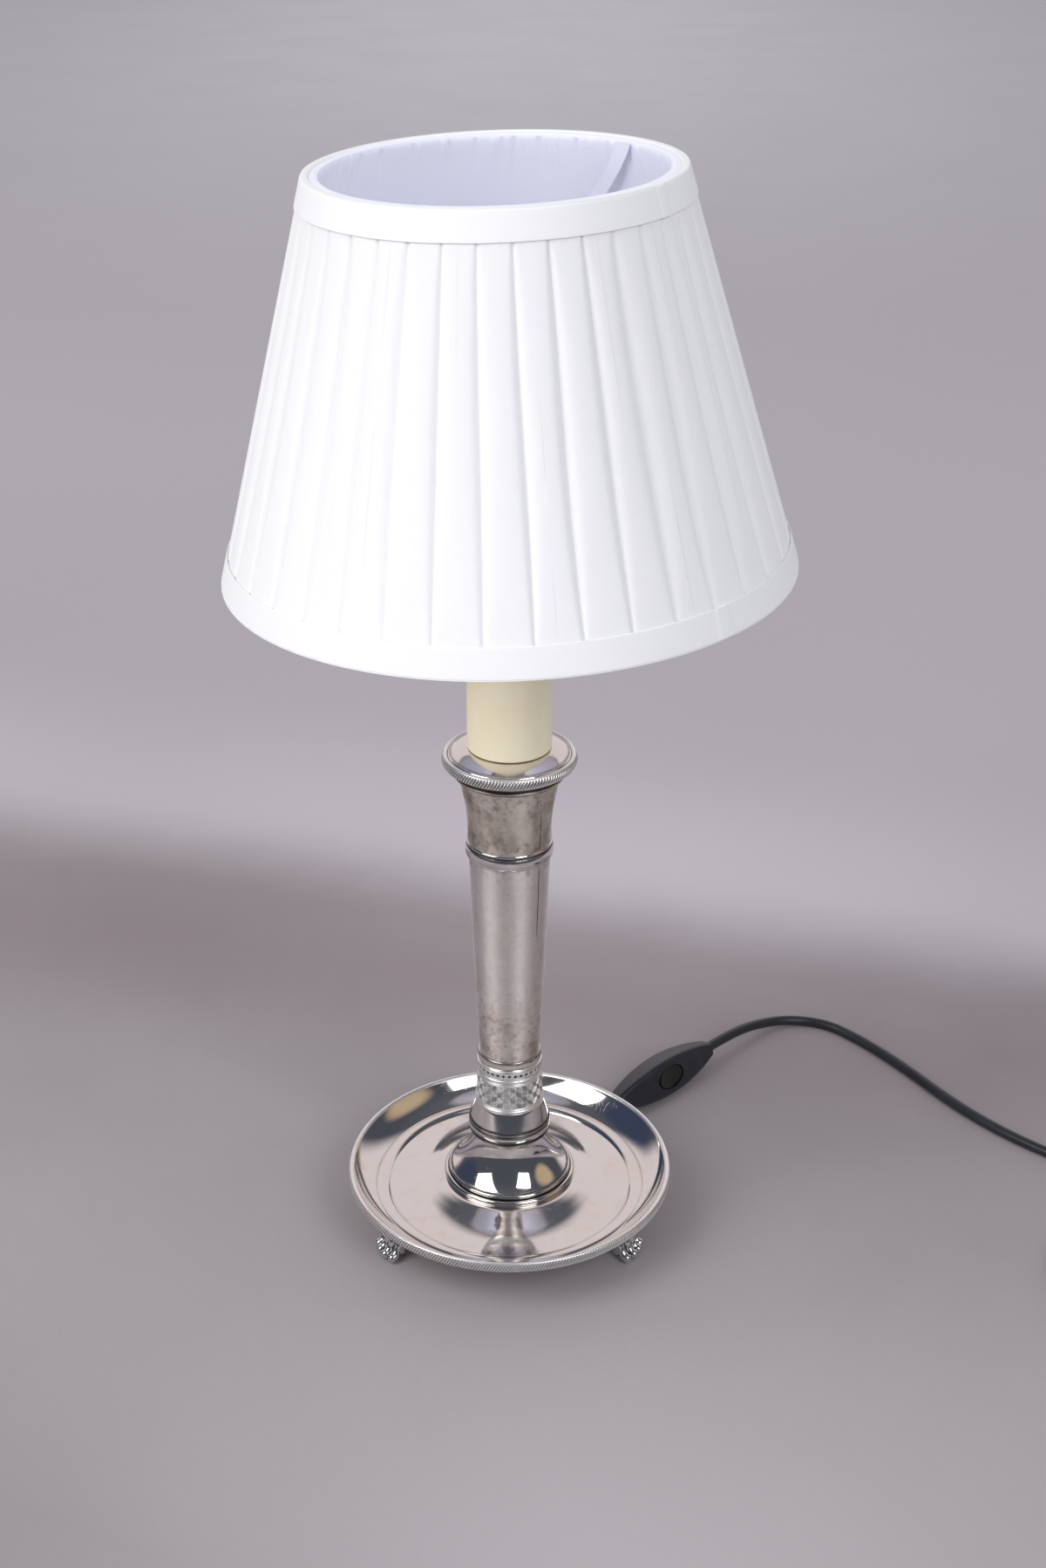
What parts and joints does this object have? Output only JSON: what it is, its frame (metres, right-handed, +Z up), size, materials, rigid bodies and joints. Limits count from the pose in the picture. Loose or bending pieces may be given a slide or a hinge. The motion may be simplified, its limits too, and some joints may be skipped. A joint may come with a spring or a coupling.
{
  "type": "table lamp",
  "caption": "Candlestick table lamp: round dish on paw feet, tapering column, candle sleeve and pleated cone shade, with a lead, an in-line switch and a flat plug.",
  "frame": {"origin": "on the table, on the column's axis, at the height of the foot soles", "axes": "+Z up along the column, -Y towards the front, +X to the side where the lead lies"},
  "size_m": [0.4882, 0.3339, 0.5185],
  "materials": {
    "silver_plate": "polished, lightly tarnished",
    "brushed_plate": "satin, brushed upright",
    "zinc_steel": "zinc plated",
    "black_plastic": "semi-gloss",
    "black_lead": "semi-gloss",
    "ivory_tube": "satin",
    "white_plastic": "satin",
    "ceramic": "glazed",
    "contact_brass": "bright",
    "nickel": "bright",
    "bulb_glass": "frosted",
    "white_wire": "white coating",
    "lining_cloth": "matt",
    "pleated_cloth": "matt",
    "binding_cloth": "matt",
    "gloss_black": "glossy"
  },
  "bodies": {
    "stand": {"dish": "silver_plate", "dish_rope_rim": "silver_plate", "paw_foot_left": "silver_plate", "paw_foot_right": "silver_plate", "paw_foot_back": "silver_plate", "bell_foot": "silver_plate", "knop_ring": "silver_plate", "lattice_collar": "silver_plate", "dotted_collar": "silver_plate", "stem_base_ring": "silver_plate", "stem_tube": "brushed_plate", "astragal_ring": "silver_plate", "capital": "brushed_plate", "capital_rope_rim": "silver_plate", "drip_disc": "silver_plate", "threaded_rod": "zinc_steel", "base_washer": "zinc_steel", "base_nut": "zinc_steel", "top_washer": "zinc_steel", "top_nut": "zinc_steel", "cord_outlet_hub": "black_plastic", "strain_relief": "black_plastic", "inner_lead": "black_lead", "lampholder_cap": "white_plastic", "lampholder_insert": "ceramic", "lampholder_contacts": "contact_brass", "lampholder_skirt": "white_plastic", "switch_case_top": "black_plastic", "switch_case_bottom": "black_plastic", "switch_screws": "nickel", "cord_to_switch": "black_lead", "cord_from_switch": "black_lead", "cord_coil": "black_lead", "cord_tail": "black_lead", "plug_relief": "black_plastic", "plug_body": "black_plastic", "plug_pins": "nickel"},
    "sleeve": {"candle_tube": "ivory_tube"},
    "bulb": {"bulb_cap": "nickel", "bulb_glass": "bulb_glass"},
    "clamp_ring": {"shade_ring": "white_plastic"},
    "shade": {"shade_fitter_ring": "white_wire", "shade_arms": "white_wire", "shade_bottom_wire": "white_wire", "shade_top_wire": "white_wire", "shade_struts": "white_wire", "shade_lining": "lining_cloth", "shade_pleats": "pleated_cloth", "shade_top_trim": "binding_cloth", "shade_bottom_trim": "binding_cloth", "lining_tape": "binding_cloth"},
    "rocker": {"switch_rocker": "gloss_black"}
  },
  "joints": [
    {"name": "sleeve_turn", "type": "hinge", "parent": "stand", "child": "sleeve", "pos_m": [0, 0, 0.3], "axis": [0, 0, 1], "continuous": true},
    {"name": "bulb_unscrew", "type": "hinge", "parent": "stand", "child": "bulb", "pos_m": [0, 0, 0.37], "axis": [0, 0, 1], "range_deg": [0, 1080]},
    {"name": "ring_unscrew", "type": "hinge", "parent": "stand", "child": "clamp_ring", "pos_m": [0, 0, 0.3675], "axis": [0, 0, 1], "range_deg": [0, 1080]},
    {"name": "shade_turn", "type": "hinge", "parent": "stand", "child": "shade", "pos_m": [0, 0, 0.365], "axis": [0, 0, 1], "continuous": true},
    {"name": "rocker_press", "type": "hinge", "parent": "stand", "child": "rocker", "pos_m": [0.08636, 0.0996, 0.01253], "axis": [0.2053, -0.2082, -0.9563], "range_deg": [0, 10]}
  ]
}
